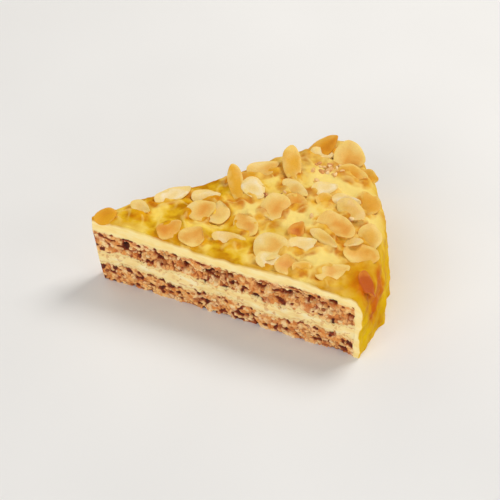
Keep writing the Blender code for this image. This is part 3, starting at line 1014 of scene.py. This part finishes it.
class Finish:
    """A procedural material, put together node by node."""

    def __init__(self, name, roughness):
        self.material = bpy.data.materials.new(name)
        self.material.use_nodes = True
        self.tree = self.material.node_tree
        self.shader = self.tree.nodes["Principled BSDF"]
        self.shader.inputs["Roughness"].default_value = roughness
        self.where = self.node("ShaderNodeTexCoord").outputs["Object"]

    def node(self, kind, **settings):
        made = self.tree.nodes.new(kind)
        for key, value in settings.items():
            setattr(made, key, value)
        return made

    def set(self, socket, value):
        """Gives a socket a plain value, or links it to another node."""
        if isinstance(value, bpy.types.NodeSocket):
            self.tree.links.new(value, socket)
        else:
            socket.default_value = value

    def attribute(self, key):
        return self.node("ShaderNodeAttribute", attribute_name=key).outputs["Fac"]

    def stretched(self, stretch):
        mapping = self.node("ShaderNodeMapping")
        self.set(mapping.inputs["Vector"], self.where)
        mapping.inputs["Scale"].default_value = stretch
        return mapping.outputs["Vector"]

    def clouds(self, size, detail=3.0, stretch=None, where=None):
        """Soft noise whose blotches have the given size."""
        made = self.node("ShaderNodeTexNoise")
        made.inputs["Scale"].default_value = 1 / size
        made.inputs["Detail"].default_value = detail
        place = where or (self.stretched(stretch) if stretch else self.where)
        self.set(made.inputs["Vector"], place)
        return made.outputs["Fac"]

    def grains(self, size, bend):
        """Bent grains of the given size, each with its own random value."""
        swirl = self.node("ShaderNodeTexNoise")
        swirl.inputs["Scale"].default_value = 1 / size
        self.set(swirl.inputs["Vector"], self.where)
        scaled = self.node("ShaderNodeVectorMath", operation="SCALE")
        self.set(scaled.inputs[0], swirl.outputs["Color"])
        scaled.inputs["Scale"].default_value = bend * size
        added = self.node("ShaderNodeVectorMath", operation="ADD")
        self.set(added.inputs[0], self.where)
        self.set(added.inputs[1], scaled.outputs["Vector"])
        made = self.node("ShaderNodeTexVoronoi")
        made.inputs["Scale"].default_value = 1 / size
        self.set(made.inputs["Vector"], added.outputs["Vector"])
        parts = self.node("ShaderNodeSeparateColor")
        self.set(parts.inputs["Color"], made.outputs["Color"])
        return parts.outputs["Red"]

    def ramp(self, fac, stops):
        """Colours or greys along a value from 0 to 1."""
        made = self.node("ShaderNodeValToRGB")
        colours = made.color_ramp
        while len(colours.elements) < len(stops):
            colours.elements.new(0.5)
        for element, (place, colour) in zip(colours.elements, stops):
            element.position = place
            element.color = colour
        self.set(made.inputs["Fac"], fac)
        return made.outputs["Color"]

    def step(self, fac, start, end, top=1.0):
        """Nothing up to start, and from there up to top at end."""
        return self.ramp(fac, ((start, grey(0.0)), (end, grey(top))))

    def mix(self, fac, first, second, blend="MIX"):
        made = self.node("ShaderNodeMix", data_type="RGBA", blend_type=blend)
        self.set(made.inputs["Factor"], fac)
        self.set(made.inputs["A"], first)
        self.set(made.inputs["B"], second)
        return made.outputs["Result"]

    def maths(self, operation, first, second):
        made = self.node("ShaderNodeMath", operation=operation)
        self.set(made.inputs[0], first)
        self.set(made.inputs[1], second)
        return made.outputs["Value"]

    def patchy(self, value, size, detail=3.0, where=None):
        """A value broken up by soft noise."""
        return self.maths("MULTIPLY", value, self.clouds(size, detail, where=where))

    def colour(self, value):
        self.set(self.shader.inputs["Base Color"], value)

    def bumps(self, height, depth, strength):
        bump = self.node("ShaderNodeBump")
        bump.inputs["Distance"].default_value = depth
        bump.inputs["Strength"].default_value = strength
        self.set(bump.inputs["Height"], height)
        self.set(self.shader.inputs["Normal"], bump.outputs["Normal"])

    def soft(self, weight, depth, tint):
        """Light that goes a little way in, as in cream."""
        self.shader.inputs["Subsurface Weight"].default_value = weight
        self.shader.inputs["Subsurface Scale"].default_value = depth
        self.shader.inputs["Subsurface Radius"].default_value = tint

    def put_on(self, obj):
        obj.data.materials.clear()
        obj.data.materials.append(self.material)


def tone(red, green, blue):
    """A colour given as it looks on a screen, from 0 to 255 each."""

    def linear(value):
        share = value / 255
        return share / 12.92 if share <= 0.04045 else ((share + 0.055) / 1.055) ** 2.4

    return (linear(red), linear(green), linear(blue), 1.0)


def grey(value):
    return (value, value, value, 1.0)


def crumb_finish():
    """Nut sponge: light and toasted grains, with painted shade: brown in the crevices and near-black
    in the holes.
    """
    finish = Finish("nut_crumb", 0.85)
    coarse = finish.ramp(
        finish.attribute("grain"),
        (
            (0.0, tone(210, 116, 44)),
            (0.22, tone(232, 154, 76)),
            (0.45, tone(246, 190, 114)),
            (0.70, tone(253, 214, 148)),
            (1.0, tone(255, 230, 180)),
        ),
    )
    fine = finish.ramp(
        finish.grains(1.2 * MM, 0.8),
        (
            (0.0, tone(194, 98, 34)),
            (0.30, tone(230, 150, 72)),
            (0.65, tone(246, 190, 112)),
            (1.0, tone(254, 216, 150)),
        ),
    )
    body = finish.mix(0.35, coarse, fine)
    toasted = finish.step(finish.clouds(3.4 * MM, 4.0), 0.52, 0.62, 0.6)
    body = finish.mix(toasted, body, tone(200, 98, 34))
    # Painted shade: brown in the crevices and pits, near-black in the torn holes
    painted_shade = finish.attribute("painted_shade")
    body = finish.mix(finish.step(painted_shade, 0.12, 0.38), body, tone(148, 56, 14))
    body = finish.mix(finish.step(painted_shade, 0.44, 0.76), body, tone(52, 15, 4))
    smear = finish.step(finish.patchy(finish.attribute("smear"), 1.8 * MM), 0.26, 0.42, 0.9)
    finish.colour(finish.mix(smear, body, tone(248, 222, 154)))
    finish.bumps(finish.clouds(0.35 * MM, 4.0), 0.25 * MM, 0.7)
    finish.soft(0.12, 1.2 * MM, (1.0, 0.5, 0.25))
    return finish


def filling_finish():
    """Pale cream, dragged thin along the cut."""
    finish = Finish("pale_cream", 0.5)
    body = finish.ramp(
        finish.clouds(2.4 * MM, 4.0, (0.35, 0.35, 1.4)),
        (
            (0.25, tone(244, 204, 128)),
            (0.5, tone(255, 226, 156)),
            (0.75, tone(255, 240, 198)),
        ),
    )
    crumbs = finish.step(finish.grains(1.3 * MM, 0.6), 0.86, 0.93, 0.7)
    body = finish.mix(crumbs, body, tone(222, 164, 98))
    seam = finish.step(finish.patchy(finish.attribute("seam"), 1.6 * MM), 0.40, 0.52, 0.8)
    finish.colour(finish.mix(seam, body, tone(224, 156, 84)))
    finish.bumps(finish.clouds(0.8 * MM, 4.0, (0.5, 0.5, 1.2)), 0.25 * MM, 0.6)
    finish.soft(0.25, 2.0 * MM, (1.0, 0.75, 0.4))
    return finish


def coat_top_colour(finish):
    """Gold cream, pale where it lies bare, and deeper round the flakes and along the cuts. The deeper
    gold by the flakes is partly painted shadow, the shoulder by the browned flake has painted shade,
    and the pale strand ridges are partly a painted highlight.
    """
    top = finish.ramp(
        finish.clouds(9 * MM),
        (
            (0.36, tone(188, 124, 0)),
            (0.48, tone(228, 180, 32)),
            (0.62, tone(246, 214, 100)),
        ),
    )
    blots = finish.maths("MULTIPLY", finish.clouds(5 * MM), 0.7)
    bare = finish.step(finish.maths("ADD", finish.attribute("pale"), blots), 0.50, 0.92)
    top = finish.mix(bare, top, tone(244, 217, 126))
    deep_gold_and_shade = finish.ramp(
        finish.clouds(5 * MM),
        ((0.42, tone(196, 104, 0)), (0.60, tone(228, 162, 14))),
    )
    # Darker gold by the flakes: caramel gathered there, and painted shadow
    pooled_and_shadowed = finish.step(finish.patchy(finish.attribute("pool_and_shadow"), 6 * MM, 2.0), 0.28, 0.58, 0.85)
    top = finish.mix(pooled_and_shadowed, top, deep_gold_and_shade)
    # The strand ridges are painted paler: partly their own paler cream, partly a painted highlight
    pale_strand_and_sheen = finish.step(finish.attribute("strand"), 0.2, 0.9, 0.5)
    top = finish.mix(pale_strand_and_sheen, top, tone(248, 220, 126))
    # Painted shade on the shoulder by the browned flake, and darker gold along the cuts
    shaded = finish.step(finish.attribute("deep_gold_and_shade"), 0.1, 0.9, 0.75)
    return finish.mix(shaded, top, tone(208, 146, 14))


def coat_finish():
    """Golden cream on the top and the rim, amber by the browned flake, and pale where it is cut."""
    finish = Finish("golden_cream", 0.48)
    rim = finish.ramp(
        finish.clouds(6 * MM, 4.0, (1.0, 1.0, 0.5)),
        (
            (0.28, tone(208, 138, 0)),
            (0.45, tone(222, 172, 2)),
            (0.7, tone(234, 192, 14)),
        ),
    )
    skin = finish.mix(finish.attribute("on_top"), rim, coat_top_colour(finish))
    amber = finish.step(finish.patchy(finish.attribute("amber"), 4 * MM), 0.05, 0.30, 0.92)
    skin = finish.mix(amber, skin, tone(202, 98, 6))
    cut = finish.ramp(
        finish.clouds(2.6 * MM, 4.0, (0.4, 0.4, 1.2)),
        (
            (0.25, tone(250, 218, 134)),
            (0.5, tone(255, 230, 160)),
            (0.8, tone(255, 240, 186)),
        ),
    )
    under = finish.maths("DIVIDE", finish.attribute("under_skin"), 3.0)
    finish.colour(finish.mix(finish.step(under, 0.15, 0.55), skin, cut))
    finish.bumps(finish.clouds(1.6 * MM, 4.0), 0.3 * MM, 0.5)
    finish.soft(0.05, 1.0 * MM, (1.0, 0.8, 0.4))
    finish.shader.inputs["Specular IOR Level"].default_value = 0.03
    return finish


def almond_finish():
    """Flaked almond, from white through tan to red-brown, darker in the middle, some of it golden,
    with pale rims that are partly glazed and partly a painted highlight.

    Its patterns are measured in millimetres along and across each flake.
    """
    finish = Finish("flaked_almond", 0.5)
    reach = finish.attribute("reach")
    own_toast = finish.attribute("toast")
    place = finish.node("ShaderNodeCombineXYZ")
    finish.set(place.inputs["X"], finish.attribute("along"))
    finish.set(place.inputs["Y"], finish.attribute("across"))
    flat = place.outputs["Vector"]
    blotch = finish.maths("SUBTRACT", finish.clouds(9.0, 2.0, where=flat), 0.62)
    toast = finish.maths("ADD", own_toast, finish.maths("MULTIPLY", blotch, 0.7))
    uneven = finish.maths("SUBTRACT", finish.clouds(6.0, 2.0, where=flat), 0.5)
    uneven = finish.maths("ADD", finish.maths("MULTIPLY", uneven, 1.6), reach)
    middle = finish.ramp(uneven, ((0.15, grey(0.22)), (0.6, grey(0.10)), (0.9, grey(0.0))))
    body = finish.ramp(
        finish.maths("ADD", toast, middle),
        (
            (0.02, tone(248, 232, 198)),
            (0.22, tone(244, 218, 154)),
            (0.42, tone(240, 203, 116)),
            (0.60, tone(235, 181, 86)),
            (0.80, tone(226, 144, 38)),
            (1.0, tone(194, 88, 4)),
        ),
    )
    gilt = finish.step(finish.patchy(finish.attribute("gold"), 8.0, 2.0, flat), 0.1, 0.5, 0.85)
    body = finish.mix(gilt, body, tone(232, 168, 24))
    # Paler rims on the less toasted flakes: partly glazed, partly a painted highlight along their
    # edges
    untoasted = finish.maths("SUBTRACT", 1.5, own_toast)
    rim_glaze_and_highlight = finish.maths("MULTIPLY", finish.patchy(reach, 5.0, 2.0, flat), untoasted)
    body = finish.mix(finish.step(rim_glaze_and_highlight, 0.36, 0.56, 0.75), body, tone(244, 210, 116))
    grain = finish.ramp(finish.clouds(0.6, where=flat), ((0.3, grey(0.82)), (0.7, grey(1.0))))
    finish.colour(finish.mix(0.5, body, finish.mix(1.0, body, grain, "MULTIPLY")))
    finish.bumps(finish.clouds(0.9, 4.0, where=flat), 0.12 * MM, 0.6)
    finish.soft(0.08, 1.2 * MM, (1.0, 0.7, 0.4))
    finish.shader.inputs["Specular IOR Level"].default_value = 0.25
    return finish


def nut_finish():
    """Chopped nuts, each with its own tone from cream to brown."""
    finish = Finish("chopped_nut", 0.6)
    body = finish.ramp(
        finish.attribute("tone"),
        (
            (0.0, tone(150, 78, 30)),
            (0.25, tone(208, 128, 60)),
            (0.5, tone(230, 170, 98)),
            (0.75, tone(246, 206, 140)),
            (1.0, tone(252, 224, 168)),
        ),
    )
    mottle = finish.ramp(finish.clouds(0.5 * MM), ((0.35, grey(0.8)), (0.65, grey(1.0))))
    finish.colour(finish.mix(0.6, body, finish.mix(1.0, body, mottle, "MULTIPLY")))
    finish.bumps(finish.clouds(0.3 * MM), 0.08 * MM, 0.5)
    return finish


def floor_finish():
    finish = Finish("pale_floor", 0.8)
    shade = finish.clouds(120 * MM, 2.0)
    finish.colour(finish.ramp(shade, ((0.3, grey(0.80)), (0.7, grey(0.84)))))
    return finish


def make_floor():
    nothing_selected()
    bpy.ops.mesh.primitive_plane_add(size=FLOOR_SIZE)
    floor = named("floor")
    floor_finish().put_on(floor)


def add_lamp(name, place, size, power, colour):
    """A square soft light that faces the slice."""
    data = bpy.data.lights.new(name, "AREA")
    data.size = size
    data.energy = power
    data.color = colour
    lamp = bpy.data.objects.new(name, data)
    lamp.location = place
    lamp.rotation_euler = (-Vector(place)).to_track_quat("-Z", "Y").to_euler()
    bpy.context.collection.objects.link(lamp)


def light_studio():
    for name, lamp in LAMPS.items():
        add_lamp(name, *lamp)
    world = bpy.data.worlds.new("studio")
    bpy.context.scene.world = world
    world.use_nodes = True
    sky = world.node_tree.nodes["Background"]
    sky.inputs["Color"].default_value = grey(SKY_GREY)
    sky.inputs["Strength"].default_value = SKY_STRENGTH
    bpy.context.scene.view_settings.view_transform = "Standard"


def set_camera():
    data = bpy.data.cameras.new("camera")
    data.lens = CAMERA_LENS
    data.sensor_width = SENSOR
    camera = bpy.data.objects.new("camera", data)
    bpy.context.collection.objects.link(camera)
    camera.matrix_world = (
        Matrix.Translation(CAMERA_PLACE)
        @ Matrix.Rotation(CAMERA_YAW, 4, "Z")
        @ Matrix.Rotation(math.pi / 2 - CAMERA_DOWN, 4, "X")
        @ Matrix.Rotation(CAMERA_ROLL, 4, "Z")
    )
    bpy.context.scene.camera = camera


def dress(piece, finish, slot, *nodes):
    """Gives a piece its finish and its place in the frame."""
    only(piece)
    bpy.ops.object.shade_smooth_by_angle(angle=SMOOTH_ANGLE)
    finish.put_on(piece)
    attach(piece, "root")
    if nodes:
        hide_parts(*nodes)


def main():
    places = flake_places()
    crumbs = crumb_finish()
    dress(make_base(), crumbs, "nut_sponge", "base_sponge")
    dress(make_upper(), crumbs, "nut_sponge", "upper_sponge")
    dress(make_filling(), filling_finish(), "cream", "cream_filling")
    dress(make_coat(places), coat_finish(), "golden_cream", "cream_coat")
    dress(make_flakes(places), almond_finish(), "almond", "cream_coat")
    nuts = nut_finish()
    dress(make_nuts(), nuts, "nut_sponge")
    dress(make_bits(), nuts, "almond")
    make_floor()
    light_studio()
    set_camera()


main()
